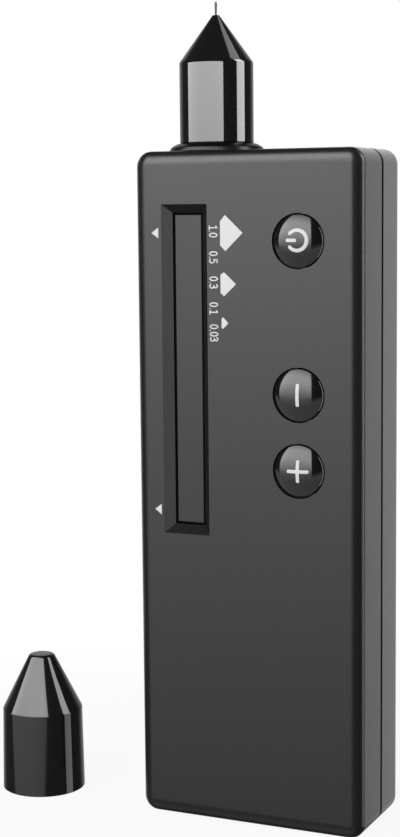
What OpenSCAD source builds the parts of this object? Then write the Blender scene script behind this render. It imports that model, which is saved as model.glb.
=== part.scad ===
// Hand-held diamond tester with its nose cap taken off and stood beside it.
// X runs across the case, Y from front to back, Z up. The origin is the middle of the case's base.

/* [Case] */
// Width of the case
case_w = 47; // [45:0.5:56]
// Depth of the case, front to back
case_d = 22.8; // [22:0.2:27]
// Height of the case without the nose
case_h = 132; // [130:1:150]
// Thickness of the case's walls
wall = 2; // [1.8:0.1:2.3]
// Radius of the case's four corners, seen from the front
corner_r = 3; // [3:0.1:3.6]
// Width of the rolled edges, seen from the front
roll_w = 2.7; // [2:0.1:2.8]
// Depth of the rolled edge round the front
front_roll = 1.9; // [1:0.1:2.4]
// Depth of the rolled edge round the back
rear_roll = 3.2; // [2.4:0.1:3.4]
// Width of the groove between the two halves
groove_w = 1; // [0.4:0.1:1.4]
// Depth of the groove between the two halves
groove_depth = 0.9; // [0.6:0.1:1.1]
// Length of the lip that locates the two halves
lip_l = 1.2; // [0.8:0.1:2]

/* [Window] */
// From the left side of the case to the middle of the window
window_inset = 10.7; // [10:0.1:12]
// From the top of the case to the window's upper edge
window_drop = 10.2; // [9.6:0.1:14]
// Width of the window's outer edge
window_w = 9.7; // [9:0.1:10.5]
// Height of the window's outer edge
window_h = 64.3; // [56:0.1:68]
// Width of the bevel round the window
bevel_w = 1.8; // [1.4:0.05:2.2]
// Depth of the bevel round the window
bevel_d = 1.9; // [1:0.1:2.2]
// Thickness of the lens where it shows
lens_t = 1.5; // [1:0.1:2]
// Width of the flange that holds the lens from behind
lens_flange_w = 1.4; // [1:0.1:1.6]
// Thickness of the lens flange
lens_flange_t = 1; // [0.6:0.1:1.2]

/* [Buttons] */
// From the right side of the case to the middle of the buttons
button_inset = 12.7; // [12:0.1:15]
// From the top of the case down to the power button
power_drop = 17.3; // [16:0.1:22]
// From the top of the case down to the minus button
minus_drop = 46.3; // [40:0.1:46.6]
// From the top of the case down to the plus button
plus_drop = 60.8; // [60.2:0.1:63]
// Radius of a button
button_r = 5.1; // [4.6:0.1:5.3]
// Height of a button's dome above the case
dome_h = 1.8; // [1.6:0.1:2.2]
// Radius of the dome's crown
crown_r = 8; // [7:0.5:10]
// Radius of the dome's rolled edge
dome_roll = 0.5; // [0.3:0.1:0.8]
// How far a button goes in
button_travel = 0.5; // [0.3:0.1:0.6]
// Width of the flange that keeps a button in
button_flange_w = 1.1; // [0.8:0.1:1.3]
// Thickness of the button flange
button_flange_t = 1; // [0.8:0.1:1.2]
// Radius of a switch plunger
plunger_r = 1.7; // [1.4:0.1:1.9]
// Side of a square switch body
switch_w = 6; // [5:0.5:7]
// Height of a switch body above the board
switch_t = 3; // [2.6:0.1:3.1]

/* [Nose] */
// From the left side of the case to the middle of the nose
nose_inset = 12.7; // [12:0.1:15]
// Radius of the nose
nose_r = 7.25; // [6.9:0.05:7.6]
// Height of the nose's straight part above the case
nose_h = 17.2; // [16.8:0.2:20]
// Height of the nose's cone
cone_h = 9.1; // [8.6:0.1:10]
// Radius of the flat at the tip of the cone
tip_r = 0.65; // [0.55:0.05:0.9]
// Radius of the flared foot of the nose
flare_r = 9.3; // [9:0.05:9.4]
// Height of the flared foot of the nose
flare_h = 1.6; // [1.4:0.05:2]
// Thickness of the flare's outer edge
flare_edge = 0.1; // [0.08:0.02:0.2]
// Thickness of the nose's wall
nose_wall = 1.65; // [1.4:0.05:1.9]
// Radius of the neck that passes through the case
neck_r = 6.4; // [6.2:0.05:6.6]
// Thickness of the nose's flange inside the case
nose_flange_t = 1.3; // [1:0.1:1.6]
// Height of the spigot that holds the barrel on its collar
spigot_h = 1.2; // [0.8:0.1:1.4]
// Radius of the hole for the probe's leads
lead_hole_r = 2.4; // [2.2:0.1:3]

/* [Probe] */
// Radius of the needle's point
needle_r = 0.22; // [0.15:0.01:0.3]
// Length of needle that stands out of the nose
needle_out = 2.6; // [2:0.1:2.8]
// How far the needle goes in
needle_travel = 1; // [0.5:0.1:1.2]
// Radius of the needle's shank inside the nose
shank_r = 0.8; // [0.6:0.05:1]
// Radius of the sleeve that guides the needle
sleeve_r = 2.2; // [1.9:0.1:2.4]
// Radius of the room inside the carrier
carrier_room_r = 2.4; // [2.2:0.1:2.8]
// Thickness of the carrier's floor
carrier_floor = 1.5; // [1:0.1:2]
// Length of the spring at rest
spring_l = 6; // [5.4:0.1:6.2]
// Radius of the spring's coil
spring_r = 1.4; // [1.2:0.05:1.6]
// Radius of the spring's wire
spring_wire_r = 0.16; // [0.12:0.01:0.2]
// Number of turns of the spring
spring_turns = 6; // [4:1:7]

/* [Cap] */
// From the middle of the case to the middle of the cap
cap_x = -49.9; // [-60:0.5:-46]
// From the middle of the case's depth to the middle of the cap
cap_y = -5.2; // [-12:0.2:12]
// Radius of the cap's foot
cap_r = 8.6; // [8.5:0.1:9.4]
// Radius of the cap at its shoulder
cap_shoulder_r = 8.3; // [8.2:0.05:8.5]
// Height of the cap's shoulder
cap_shoulder_h = 17; // [16.6:0.1:18]
// Height of the cap
cap_h = 28.4; // [28.4:0.1:32]
// Radius of the cap's top
cap_top_r = 2.9; // [2.7:0.05:3.4]
// Radius of the rounded edge of the cap's top
cap_edge_r = 0.9; // [0.5:0.1:1.2]
// Thickness of the cap's top
cap_top_t = 0.7; // [0.6:0.05:0.8]

/* [Board] */
// Thickness of the circuit board
board_t = 1.6; // [1:0.1:1.8]
// Room between the front wall and the board
board_room = 5.8; // [5.6:0.1:6.2]
// Room round the board
board_gap = 0.9; // [0.6:0.1:1.2]
// From the top of the case to the top of the board
board_drop = 11; // [10.6:0.2:12]
// Number of lights behind the window
led_count = 12; // [8:1:14]
// Radius of the buzzer
buzzer_r = 6; // [5:0.5:6.5]
// Height of the buzzer
buzzer_t = 4.5; // [3:0.1:5]

/* [Battery] */
// Width of the battery
battery_w = 34; // [28:1:36]
// Height of the battery
battery_h = 62; // [50:1:64]
// Thickness of the battery
battery_t = 7.5; // [6:0.1:8]
// From the base of the case to the battery
battery_rise = 34; // [30:1:36]
// Thickness of the pad under the battery
pad_t = 0.8; // [0.4:0.1:1.2]

/* [Screws] */
// Radius of a case screw's shank
screw_r = 1.1; // [0.9:0.05:1.2]
// Radius of a case screw's head
screw_head_r = 2.1; // [1.8:0.1:2.2]
// Height of a case screw's head
screw_head_t = 1.4; // [1:0.1:1.6]
// Length of a case screw's shank
screw_l = 12.5; // [10:0.5:13]
// Wall round a screw hole
boss_wall = 1.45; // [1.2:0.05:1.5]
// From the sides of the case to the case screws
screw_inset = 5.2; // [5.2:0.05:5.5]
// From the base of the case up to the lower case screws
screw_rise = 8; // [7:0.2:9]
// From the top of the case down to the upper case screws
screw_drop = 6.8; // [6.7:0.05:6.9]

/* [Charging socket] */
// From the right side of the case to the middle of the charging socket
socket_inset = 13.5; // [13.1:0.1:13.7]
// Width of the charging socket
socket_w = 9; // [8.4:0.1:9.2]
// Thickness of the charging socket, front to back
socket_t = 3.3; // [3:0.1:3.6]
// Length of the charging socket
socket_l = 7.4; // [6.5:0.1:8]
// Thickness of the socket's sheet metal
sheet_t = 0.35; // [0.25:0.05:0.4]

/* [Clearances] */
// Gap round a button and round the probe's spring
show_gap = 0.2; // [0.1:0.05:0.3]
// Gap round the lens
lens_gap = 0.3; // [0.2:0.05:0.4]
// Gap round a sliding shaft
slide_gap = 0.06; // [0.03:0.01:0.1]
// Gap between pieces that are assembled once
fit_gap = 0.1; // [0.05:0.05:0.15]
// Gap behind a button's flange at rest
rest_gap = 0.3; // [0.2:0.05:0.4]

/* [Hidden] */
$fn = 64;
arc_steps = 8;
spring_rings = 12;
wire_sides = 6;
over = 1;

half_d = case_d / 2;
front_in = -half_d + wall;
rear_in = half_d - wall;
window_x = -case_w / 2 + window_inset;
window_z = case_h - window_drop - window_h / 2;
slot_w = window_w - 2 * bevel_w;
slot_h = window_h - 2 * bevel_w;
lens_front = -half_d + bevel_d + fit_gap;
lens_seat = lens_front + lens_t;
lens_back = lens_seat + lens_flange_t;
lens_back_w = slot_w + 2 * lens_flange_w;
lens_back_h = slot_h + 2 * lens_flange_w;
lens_rim_w = 0.5;

button_x = case_w / 2 - button_inset;
power_z = case_h - power_drop;
minus_z = case_h - minus_drop;
plus_z = case_h - plus_drop;
button_zs = [power_z, minus_z, plus_z];
button_flange_front = front_in + rest_gap;
button_flange_back = button_flange_front + button_flange_t;
crown_turn = asin((button_r - dome_roll) / (crown_r - dome_roll));
crown_centre = [0, dome_h - crown_r];
roll_centre = crown_centre + (crown_r - dome_roll) * [sin(crown_turn), cos(crown_turn)];
stem_l = 0.6;
plunger_front = button_flange_back + stem_l;

board_front = front_in + board_room;
board_rear = board_front + board_t;
board_low = wall + board_gap;
board_high = case_h - board_drop;
board_w = case_w - 2 * wall - 2 * board_gap;
switch_top = board_front - switch_t;
switch_floor_t = 1;
well_floor = board_front - switch_floor_t;
plunger_back = well_floor - button_travel - rest_gap;

// The board stands on four posts, one pair level with each other, one below it and one near the top
post_r = 2.2;
post_pilot_r = 0.85;
post_inset = 3.1;
post_low = 24;
post_pair = 50;
post_drop = 32;
post_x = board_w / 2 - post_inset;
post_places = [
    [-post_x, post_pair], [post_x, post_pair], [-post_x, post_low], [post_x, case_h - post_drop]
];
thread_gap = 0.05;
board_screw_r = post_pilot_r - thread_gap;
board_screw_l = 4.5;
board_head_r = 1.6;
board_head_t = 1;

led_end_gap = 0.25;
led_pitch = (slot_h - 2 * led_end_gap) / led_count;
led_size = [2, 1.6];
led_t = 0.9;
led_well_r = 1.7;
led_zs = [for (i = [0 : led_count - 1]) window_z + (i - (led_count - 1) / 2) * led_pitch];
green_share = 0.4;
amber_share = 0.65;
green_last = floor(led_count * green_share);
amber_last = floor(led_count * amber_share);

chip_x = 6;
chip_drop = 15.4;
chip_z = plus_z - chip_drop;
chip_w = 9;
chip_t = 1.2;
buzzer_x = 7;
buzzer_drop = 31.4;
buzzer_z = plus_z - buzzer_drop;
buzzer_hole_r = 1;
buzzer_hole_d = 1;
// Small pieces on the board's front as [across, down from the plus button, width, height, thickness]
front_parts = [[-4, 19, 3, 1.6, 0.8], [-4, 25, 3, 1.6, 0.8], [-10, 27, 4, 4, 1.5], [-12, 39, 2, 1.2, 0.6]];
// Small pieces on the board's back as [across, up from the base, width, height, thickness]
rear_parts = [[-8, 18, 5, 6, 1.6], [-2, 26, 3, 1.6, 0.9], [10, 22, 4, 4, 1.8], [3, 18, 2, 1.2, 0.6]];

battery_back = rear_in - pad_t;
battery_front = battery_back - battery_t;
battery_z = battery_rise + battery_h / 2;
pad_inset = 2;
plug_size = [6, 4];
plug_t = 3.5;
battery_plug_x = 4;
battery_plug_rise = 10;
battery_plug_z = battery_rise + battery_h + battery_plug_rise;
battery_lead_out = 7;
battery_lead_in = 3;
probe_lead_out = 6;
lead_r = 0.5;
lead_space = 1.1;
lead_sides = 8;
lead_rings = 14;

screw_x = case_w / 2 - screw_inset;
screw_zs = [screw_rise, case_h - screw_drop];
boss_r = screw_r + boss_wall;
head_room_r = screw_head_r + fit_gap;
tower_wall = 0.8;
tower_r = head_room_r + tower_wall;
head_depth = 3.4;
head_seat = rear_in - head_depth;
cross_l = 1.3 * screw_head_r;
cross_w = 0.5;
screw_end = head_seat - screw_l;

socket_x = case_w / 2 - socket_inset;
socket_low = 0.4;
socket_high = socket_low + socket_l;
socket_y = board_rear + socket_t / 2;
tongue_t = 0.7;
tongue_side = 0.5;
tongue_set = 0.6;

nose_x = -case_w / 2 + nose_inset;
nose_bore_r = nose_r - nose_wall;
nose_flange_w = 1.8;
nose_flange_r = neck_r + nose_flange_w;
nose_flange_top = -wall - fit_gap;
nose_low = nose_flange_top - nose_flange_t;
cone_slope = (nose_r - tip_r) / cone_h;
inner_cone_h = (nose_bore_r - sleeve_r - fit_gap) / cone_slope;
sleeve_seat = 0.5;
sleeve_top = nose_h + inner_cone_h + sleeve_seat;
needle_hole_r = needle_r + slide_gap;
needle_tip = nose_h + cone_h + needle_out;
carrier_low = flare_h + spigot_h;
carrier_high = nose_h - fit_gap;
spring_low = carrier_low + carrier_floor;
collar_low = spring_low + spring_l;
collar_t = 0.8;
collar_gap = 0.4;
collar_r = carrier_room_r - collar_gap;
shank_drop = 1.3;
shank_top = sleeve_top - shank_drop;
needle_point_l = 0.4;
sleeve_low = nose_h;
thermistor_high = sleeve_low - rest_gap;
thermistor_l = 1.6;
heater_low = collar_low + collar_t + fit_gap;
heater_l = thermistor_high - thermistor_l - rest_gap - heater_low;
heater_r = 1.6;
thermistor_r = 1.3;
bond_gap = 0.02;
probe_plug_drop = 6;
probe_plug_z = board_high - probe_plug_drop;

cap_bore_r = nose_r + slide_gap;
cap_bore_drop = 0.1;
cap_bore_h = cap_shoulder_h - cap_bore_drop;
cap_top_wall = 1;
cap_room_top_r = cap_top_r - cap_top_wall;
cap_edge_from = atan2(cap_shoulder_r - cap_top_r, cap_h - cap_edge_r - cap_shoulder_h);

key_w = 8;
key_l = 2;

case_colour = [0.36, 0.36, 0.37];
black = [0.06, 0.06, 0.065];
steel = [0.72, 0.73, 0.75];

// Points of an arc round a centre, from one angle to another
function arc(centre, r, from, to) = [
    for (i = [0 : arc_steps])
        let (a = from + (to - from) * i / arc_steps)
        centre + r * [cos(a), sin(a)]
];

// Unit vector
function unit(v) = v / norm(v);

// A point of a cubic curve with four control points
function curve(p, t) =
    p[0] * pow(1 - t, 3) + 3 * p[1] * t * pow(1 - t, 2) + 3 * p[2] * t * t * (1 - t) + p[3] * pow(t, 3);

// Direction of that curve
function curve_way(p, t) = unit(
    (p[1] - p[0]) * pow(1 - t, 2) + 2 * (p[2] - p[1]) * t * (1 - t) + (p[3] - p[2]) * t * t
);

// Ring of points round a route, level with the side vector
function ring(centre, way, side, r, sides) =
    let (u = unit(cross(way, side)), v = cross(way, u))
    [for (k = [0 : sides - 1]) centre + r * (cos(360 * k / sides) * u + sin(360 * k / sides) * v)];

// Tube along a route with its directions. The side vector is never along the route.
module tube(route, ways, side, r, sides) {
    n = len(route);
    points = [for (i = [0 : n - 1]) each ring(route[i], ways[i], side, r, sides)];
    first_cap = [for (k = [1 : sides - 2]) [0, k, k + 1]];
    last_cap = [for (k = [1 : sides - 2]) [(n - 1) * sides, (n - 1) * sides + k + 1, (n - 1) * sides + k]];
    walls = [
        for (i = [0 : n - 2], k = [0 : sides - 1])
            let (a = i * sides + k, b = i * sides + (k + 1) % sides)
            each [[a, a + sides, b + sides], [a, b + sides, b]]
    ];
    polyhedron(points, concat(first_cap, walls, last_cap));
}

// Lead that bends once, along a cubic curve
module lead(p, side) {
    steps = [for (i = [0 : lead_rings]) i / lead_rings];
    tube([for (t = steps) curve(p, t)], [for (t = steps) curve_way(p, t)], side, lead_r, lead_sides);
}

// Round bar along Y
module pole(x, z, from, to, r) {
    translate([x, to, z]) rotate([90, 0, 0]) cylinder(r = r, h = to - from);
}

// Box between two depths, centred on x and z
module block(x, z, w, h, from, to) {
    translate([x - w / 2, from, z - h / 2]) cube([w, to - from, h]);
}

// Case outline seen from the front, drawn in by an inset
module outline(inset) {
    r = corner_r - inset;
    w = case_w - 2 * inset;
    h = case_h - 2 * inset;
    translate([-w / 2 + r, inset]) square([w - 2 * r, h]);
    translate([-w / 2, inset + r]) square([w, h - 2 * r]);
    for (side = [-1, 1], z = [inset + r, case_h - inset - r])
        translate([side * (w / 2 - r), z]) circle(r);
}

// Slab of the case outline between two depths
module outline_slab(inset, from, to) {
    translate([0, to, 0]) rotate([90, 0, 0]) linear_extrude(to - from) outline(inset);
}

// Section of the case's edge, from a start inside it outwards, with its face rolled over
module edge_section(start, thick, roll) {
    bend = [for (p = arc([0, 0], 1, 0, 90)) [corner_r - roll_w * (1 - p[0]), thick - roll * (1 - p[1])]];
    polygon(concat([[start, 0], [corner_r, 0]], bend, [[start, thick]]));
}

// Quarter of one half of the case, from past its middle to a corner, with its face rolled over
module rolled_quarter(thick, roll) {
    reach = [case_w / 2 - corner_r, case_h / 2 - corner_r, 0];
    translate([-over, -over, 0]) cube([reach[0] + over, reach[1] + over, thick]);
    translate(reach) {
        rotate([90, 0, 0]) linear_extrude(reach[1] + over) edge_section(-over, thick, roll);
        mirror([1, 0, 0]) rotate([90, 0, 90])
            linear_extrude(reach[0] + over) edge_section(-over, thick, roll);
        rotate_extrude(angle = 90) edge_section(0, thick, roll);
    }
}

// Solid half of the case in front of the groove, with a rolled edge
module rolled_half(roll) {
    thick = half_d - groove_w / 2;
    translate([0, -groove_w / 2, case_h / 2]) rotate([90, 0, 0])
        for (across = [0, 1], up = [0, 1])
            mirror([across, 0, 0]) mirror([0, up, 0]) rolled_quarter(thick, roll);
}

// Bevelled mouth of the window, meeting the slot at the bevel's depth
module window_mouth() {
    depth_range = [-half_d - over, -half_d + bevel_d];
    grow = bevel_w * (over + bevel_d) / bevel_d;
    intersection() {
        translate([window_x, 0, window_z - window_h])
            linear_extrude(2 * window_h)
            polygon([
                [-slot_w / 2 - grow, depth_range[0]], [slot_w / 2 + grow, depth_range[0]],
                [slot_w / 2, depth_range[1]], [-slot_w / 2, depth_range[1]]
            ]);
        translate([window_x - window_w, 0, window_z])
            rotate([90, 0, 90])
            linear_extrude(2 * window_w)
            polygon([
                [depth_range[0], -slot_h / 2 - grow], [depth_range[1], -slot_h / 2],
                [depth_range[1], slot_h / 2], [depth_range[0], slot_h / 2 + grow]
            ]);
    }
}

// Upright stadium, round at both ends across X
module stadium(w, t, low, high) {
    translate([0, 0, low]) linear_extrude(high - low) {
        square([w - t, t], center = true);
        for (side = [-1, 1]) translate([side * (w - t) / 2, 0]) circle(t / 2);
    }
}

// Openings that both halves share: the neck of the nose and the mouth of the charging socket
module shared_openings() {
    translate([nose_x, 0, case_h - wall - over]) cylinder(r = neck_r + fit_gap, h = wall + 2 * over);
    translate([socket_x, socket_y, 0])
        stadium(socket_w + 2 * rest_gap, socket_t + 2 * rest_gap, -over, wall + over);
}

// Locating key in the middle of the base, or the slot for it with a gap and cut from below
module base_key(gap, below) {
    translate([-key_w / 2 - gap, -groove_w / 2 - over, -below])
        cube([key_w + 2 * gap, groove_w / 2 + over + key_l + gap, wall + below]);
}

module front_shell() {
    color(case_colour) difference() {
        union() {
            difference() {
                union() {
                    rolled_half(front_roll);
                    outline_slab(groove_depth, -groove_w / 2 - over, groove_w / 2 + lip_l);
                }
                outline_slab(wall, front_in, half_d);
            }
            base_key(0, 0);
            block(window_x, window_z, lens_back_w + 2 * lens_rim_w, lens_back_h + 2 * lens_rim_w,
                front_in - over, lens_seat);
            for (side = [-1, 1], z = screw_zs)
                pole(side * screw_x, z, front_in - over, 0, boss_r);
            for (p = post_places)
                pole(p[0], p[1], front_in - over, board_front, post_r);
        }
        window_mouth();
        block(window_x, window_z, slot_w, slot_h, -half_d, lens_seat + over);
        for (z = button_zs)
            pole(button_x, z, -half_d - over, front_in + over, button_r + show_gap);
        for (side = [-1, 1], z = screw_zs)
            pole(side * screw_x, z, screw_end - over, over, screw_r + slide_gap);
        for (p = post_places)
            pole(p[0], p[1], board_rear - board_screw_l - over, board_front + over, post_pilot_r);
        shared_openings();
    }
}

module rear_shell() {
    color(case_colour) difference() {
        union() {
            difference() {
                mirror([0, 1, 0]) rolled_half(rear_roll);
                outline_slab(wall, -half_d, rear_in);
                outline_slab(groove_depth - fit_gap, 0, groove_w / 2 + lip_l + fit_gap);
            }
            for (side = [-1, 1], z = screw_zs)
                pole(side * screw_x, z, fit_gap, rear_in + over, tower_r);
        }
        for (side = [-1, 1], z = screw_zs) {
            pole(side * screw_x, z, -over, rear_in, screw_r + fit_gap);
            pole(side * screw_x, z, head_seat, half_d + over, head_room_r);
        }
        base_key(fit_gap, over);
        shared_openings();
    }
}

module case_screws() {
    color(steel) for (side = [-1, 1], z = screw_zs) difference() {
        union() {
            pole(side * screw_x, z, head_seat, head_seat + screw_head_t, screw_head_r);
            pole(side * screw_x, z, screw_end, head_seat + over / 2, screw_r);
        }
        for (turn = [0, 90])
            translate([side * screw_x, head_seat + screw_head_t, z])
                rotate([0, turn, 0]) cube([cross_l, screw_head_t, cross_w], center = true);
    }
}

module window_lens() {
    color([0.3, 0.3, 0.31]) {
        block(window_x, window_z, slot_w - 2 * lens_gap, slot_h - 2 * lens_gap, lens_front, lens_back);
        block(window_x, window_z, lens_back_w, lens_back_h, lens_seat, lens_back);
    }
}

module light_guide() {
    color([0.9, 0.9, 0.88]) difference() {
        block(window_x, window_z, lens_back_w, lens_back_h, lens_back, board_front);
        for (z = led_zs)
            pole(window_x, z, lens_back - over, board_front + over, led_well_r);
    }
}

// Lights with these numbers, counted from the bottom
module leds(first, last) {
    for (i = [first : last])
        block(window_x, led_zs[i], led_size[0], led_size[1], board_front - led_t, board_front);
}

module green_leds() {
    color([0.3, 0.75, 0.35]) leds(0, green_last - 1);
}

module amber_leds() {
    color([0.95, 0.7, 0.15]) leds(green_last, amber_last - 1);
}

module red_leds() {
    color([0.85, 0.15, 0.12]) leds(amber_last, led_count - 1);
}

module main_board() {
    color([0.1, 0.38, 0.2]) difference() {
        block(0, (board_low + board_high) / 2, board_w, board_high - board_low, board_front, board_rear);
        for (side = [-1, 1])
            pole(side * screw_x, screw_rise, board_front - over, board_rear + over, boss_r + rest_gap);
        for (p = post_places)
            pole(p[0], p[1], board_front - over, board_rear + over, post_pilot_r + fit_gap);
    }
}

module board_screws() {
    color(steel) for (p = post_places) {
        pole(p[0], p[1], board_rear, board_rear + board_head_t, board_head_r);
        pole(p[0], p[1], board_rear - board_screw_l, board_rear + board_head_t / 2, board_screw_r);
    }
}

// Button with a domed face, a flange behind the wall and a short stem
module button(z) {
    low = -half_d - button_flange_back;
    crown = arc(crown_centre, crown_r, 90 - crown_turn, 90);
    translate([button_x, -half_d, z]) rotate([90, 0, 0]) rotate_extrude() polygon(concat(
        [[0, low], [button_r, low]],
        arc(roll_centre, dome_roll, 0, 90 - crown_turn),
        [for (i = [1 : arc_steps]) crown[i]]
    ));
    pole(button_x, z, button_flange_front, button_flange_back, button_r + button_flange_w);
    pole(button_x, z, button_flange_back - button_flange_t / 2, plunger_front, plunger_r);
}

module power_button() {
    color(black) button(power_z);
}

module minus_button() {
    color(black) button(minus_z);
}

module plus_button() {
    color(black) button(plus_z);
}

// Plunger of a switch, from the button's stem down into the switch
module plunger(z) {
    pole(button_x, z, plunger_front, plunger_back, plunger_r);
}

module power_plunger() {
    color([0.85, 0.82, 0.75]) plunger(power_z);
}

module minus_plunger() {
    color([0.85, 0.82, 0.75]) plunger(minus_z);
}

module plus_plunger() {
    color([0.85, 0.82, 0.75]) plunger(plus_z);
}

module switch_bodies() {
    color([0.15, 0.15, 0.16]) for (z = button_zs) difference() {
        block(button_x, z, switch_w, switch_w, switch_top, board_front);
        pole(button_x, z, switch_top - over, well_floor, plunger_r + slide_gap);
    }
}

module control_chip() {
    color([0.12, 0.12, 0.13]) block(chip_x, chip_z, chip_w, chip_w, board_front - chip_t, board_front);
}

module board_parts() {
    color([0.55, 0.45, 0.3]) {
        for (p = front_parts)
            block(p[0], plus_z - p[1], p[2], p[3], board_front - p[4], board_front);
        for (p = rear_parts)
            block(p[0], p[1], p[2], p[3], board_rear, board_rear + p[4]);
    }
}

module buzzer() {
    face = board_front - buzzer_t;
    color([0.1, 0.1, 0.1]) difference() {
        pole(buzzer_x, buzzer_z, face, board_front, buzzer_r);
        pole(buzzer_x, buzzer_z, face - over, face + buzzer_hole_d, buzzer_hole_r);
    }
}

module battery() {
    color([0.75, 0.77, 0.8]) block(0, battery_z, battery_w, battery_h, battery_front, battery_back);
}

module battery_pad() {
    color([0.2, 0.2, 0.22])
        block(0, battery_z, battery_w - 2 * pad_inset, battery_h - 2 * pad_inset, battery_back, rear_in);
}

module battery_leads() {
    leave = battery_rise + battery_h;
    middle = (battery_front + battery_back) / 2;
    meet = board_rear + plug_t;
    color([0.75, 0.1, 0.1]) for (side = [-1, 1]) {
        x = battery_plug_x + side * lead_space;
        lead([
            [x, middle, leave],
            [x, middle, leave + battery_lead_out],
            [x, meet + battery_lead_in, battery_plug_z],
            [x, meet, battery_plug_z]
        ], [1, 0, 0]);
    }
}

module battery_plug() {
    color([0.92, 0.9, 0.85])
        block(battery_plug_x, battery_plug_z, plug_size[0], plug_size[1], board_rear, board_rear + plug_t);
}

module charging_socket() {
    color(steel) translate([socket_x, socket_y, 0]) difference() {
        stadium(socket_w, socket_t, socket_low, socket_high);
        stadium(socket_w - 2 * sheet_t, socket_t - 2 * sheet_t, socket_low - over, socket_high - sheet_t);
    }
}

module socket_tongue() {
    tongue_w = socket_w - socket_t + 2 * tongue_side;
    color(black) translate([socket_x - tongue_w / 2, socket_y - tongue_t / 2, socket_low + tongue_set])
        cube([tongue_w, tongue_t, socket_l - sheet_t - tongue_set]);
}

// Turned piece on the nose's axis, with heights from the top of the case
module on_nose() {
    translate([nose_x, 0, case_h]) rotate_extrude() children();
}

module nose_collar() {
    color(black) on_nose() polygon([
        [lead_hole_r, nose_low], [nose_flange_r, nose_low], [nose_flange_r, nose_flange_top],
        [neck_r, nose_flange_top], [neck_r, slide_gap], [flare_r, slide_gap], [flare_r, flare_edge],
        [nose_r, flare_h], [nose_bore_r - slide_gap, flare_h],
        [nose_bore_r - slide_gap, flare_h + spigot_h], [lead_hole_r, flare_h + spigot_h]
    ]);
}

module nose_barrel() {
    low = flare_h + slide_gap;
    color(black) on_nose() polygon([
        [nose_bore_r, low], [nose_r, low], [nose_r, nose_h], [tip_r, nose_h + cone_h],
        [needle_hole_r, nose_h + cone_h], [needle_hole_r, sleeve_top + fit_gap],
        [sleeve_r + fit_gap, sleeve_top + fit_gap], [sleeve_r + fit_gap, nose_h + inner_cone_h],
        [nose_bore_r, nose_h]
    ]);
}

// Carrier of the probe, with a ledge that stops the needle's collar at the end of its travel
module probe_carrier() {
    floor_hole_r = spring_r - 2 * spring_wire_r;
    spring_room_r = spring_r + spring_wire_r + show_gap;
    ledge = collar_low - needle_travel - bond_gap;
    outer_r = nose_bore_r - slide_gap;
    color([0.9, 0.88, 0.8]) on_nose() polygon([
        [floor_hole_r, carrier_low], [outer_r, carrier_low], [outer_r, carrier_high],
        [carrier_room_r, carrier_high], [carrier_room_r, ledge], [spring_room_r, ledge],
        [spring_room_r, spring_low], [floor_hole_r, spring_low]
    ]);
}

module probe_sleeve() {
    color([0.95, 0.95, 0.93]) on_nose()
        translate([shank_r + slide_gap, sleeve_low])
        square([sleeve_r - shank_r - slide_gap, sleeve_top - sleeve_low]);
}

module probe_spring() {
    rings = spring_rings * spring_turns;
    rise = spring_l - 2 * spring_wire_r - 2 * fit_gap;
    start = case_h + spring_low + spring_wire_r + fit_gap;
    climb = rise / (2 * PI * spring_turns);
    turns = [for (i = [0 : rings]) 360 * spring_turns * i / rings];
    route = [for (a = turns) [nose_x + spring_r * cos(a), spring_r * sin(a), start + climb * a * PI / 180]];
    ways = [for (a = turns) unit([-spring_r * sin(a), spring_r * cos(a), climb])];
    color(steel) tube(route, ways, [0, 0, 1], spring_wire_r, wire_sides);
}

module probe_needle() {
    collar_high = collar_low + collar_t;
    color([0.72, 0.52, 0.45]) on_nose() polygon([
        [0, collar_low], [collar_r, collar_low], [collar_r, collar_high], [shank_r, collar_high],
        [shank_r, shank_top], [needle_r, shank_top], [needle_r, needle_tip - needle_point_l],
        [needle_r / 2, needle_tip], [0, needle_tip]
    ]);
}

// Bush bonded round the needle's shank
module shank_bush(r, low, l) {
    on_nose() translate([shank_r + bond_gap, low]) square([r - shank_r - bond_gap, l]);
}

module probe_heater() {
    color([0.6, 0.3, 0.15]) shank_bush(heater_r, heater_low, heater_l);
}

module thermistor() {
    color([0.2, 0.2, 0.5]) shank_bush(thermistor_r, thermistor_high - thermistor_l, thermistor_l);
}

module probe_leads() {
    leave = case_h + carrier_low;
    meet = probe_plug_z + plug_size[1] / 2;
    plug_y = board_rear + plug_t / 2;
    color([0.85, 0.85, 0.3]) for (side = [-1, 1]) {
        top_x = nose_x + side * lead_space / 2;
        low_x = nose_x + side * lead_space;
        lead([
            [top_x, 0, leave],
            [top_x, 0, leave - probe_lead_out],
            [low_x, plug_y, meet + probe_lead_out],
            [low_x, plug_y, meet]
        ], [0, 1, 0]);
    }
}

module probe_plug() {
    color([0.92, 0.9, 0.85])
        block(nose_x, probe_plug_z, plug_size[0], plug_size[1], board_rear, board_rear + plug_t);
}

module probe_cap() {
    color(black) translate([cap_x, cap_y, 0]) rotate_extrude() polygon(concat(
        [[cap_bore_r, 0], [cap_r, 0], [cap_shoulder_r, cap_shoulder_h]],
        arc([cap_top_r - cap_edge_r, cap_h - cap_edge_r], cap_edge_r, cap_edge_from, 90),
        [[0, cap_h], [0, cap_h - cap_top_t], [cap_room_top_r, cap_h - cap_top_t], [cap_bore_r, cap_bore_h]]
    ));
}

front_shell();
rear_shell();
case_screws();
window_lens();
light_guide();
green_leds();
amber_leds();
red_leds();
main_board();
board_screws();
power_button();
minus_button();
plus_button();
power_plunger();
minus_plunger();
plus_plunger();
switch_bodies();
control_chip();
board_parts();
buzzer();
battery();
battery_pad();
battery_leads();
battery_plug();
charging_socket();
socket_tongue();
nose_collar();
nose_barrel();
probe_carrier();
probe_sleeve();
probe_spring();
probe_needle();
probe_heater();
thermistor();
probe_leads();
probe_plug();
probe_cap();
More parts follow.
